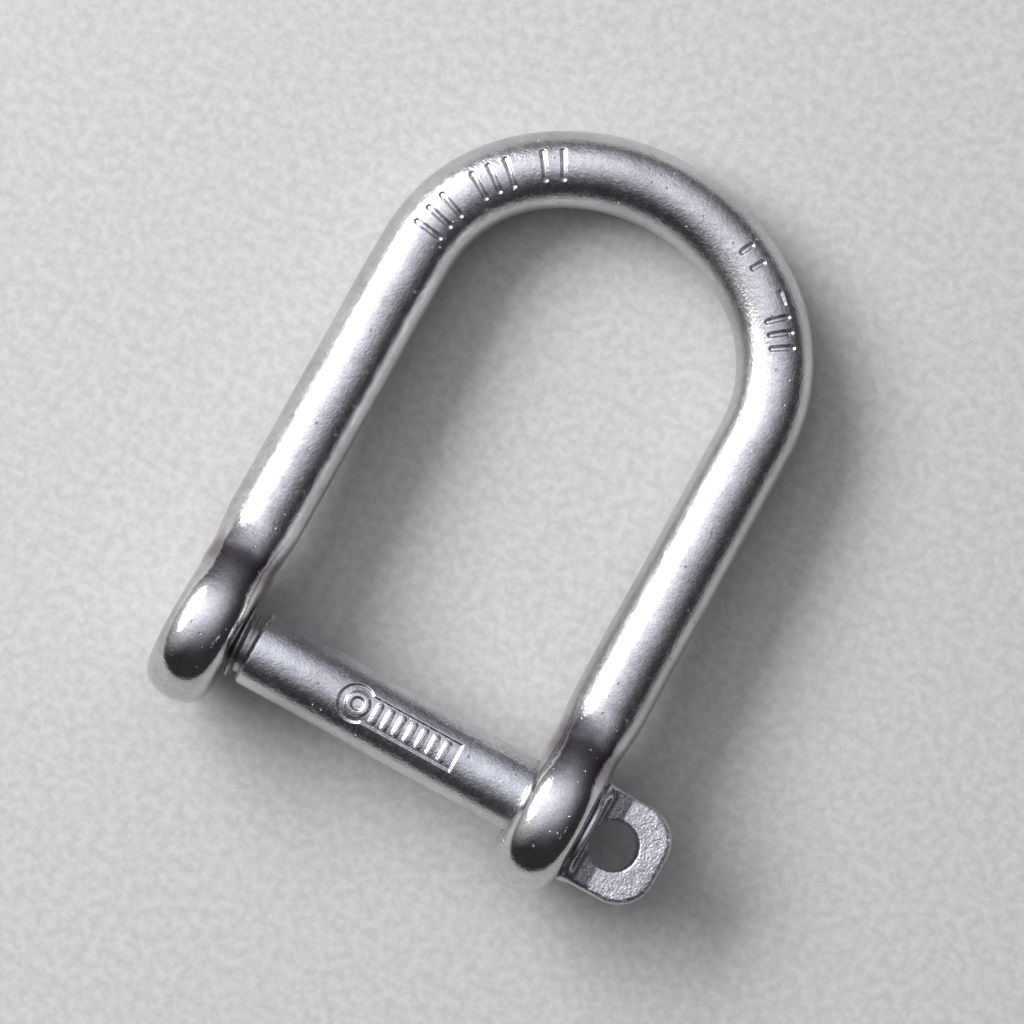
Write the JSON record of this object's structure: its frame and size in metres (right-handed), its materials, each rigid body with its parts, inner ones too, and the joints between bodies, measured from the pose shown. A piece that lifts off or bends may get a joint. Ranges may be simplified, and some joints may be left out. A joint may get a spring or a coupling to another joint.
{
  "type": "long D shackle with screw pin",
  "caption": "Long wide-jaw D shackle in polished stainless steel, with a screw pin that has a flat lug head with a key hole.",
  "frame": {"origin": "on the pin's axis, midway between the two eyes", "axes": "+X along the pin towards its head, +Y from the pin towards the crown, +Z out of the shackle's plane"},
  "size_m": [0.0425, 0.0556, 0.0132],
  "materials": {
    "bow_steel": "tumbled and polished forged stainless steel",
    "pin_steel": "polished stainless steel, satin lug faces"
  },
  "bodies": {
    "bow": {"bow": "bow_steel"},
    "pin_core": {"pin_core": "pin_steel"},
    "pin_collar": {"pin_collar": "pin_steel"},
    "screw_pin": {"screw_pin": "pin_steel", "pin_thread": "pin_steel"}
  },
  "joints": [
    {"name": "pin_pull", "type": "slide", "parent": "bow", "child": "pin_core", "axis": [1, 0, 0], "range_m": [0, 0.036]},
    {"name": "pin_travel", "type": "slide", "parent": "pin_core", "child": "pin_collar", "axis": [1, 0, 0], "range_m": [0, 0.005]},
    {"name": "pin_turn", "type": "hinge", "parent": "pin_collar", "child": "screw_pin", "pos_m": [0, 0, 0], "axis": [1, 0, 0], "range_deg": [0, 1800]}
  ],
  "couplings": [
    {"joint": "pin_turn", "follows": "pin_travel", "rad_per_m": 6283.2}
  ]
}
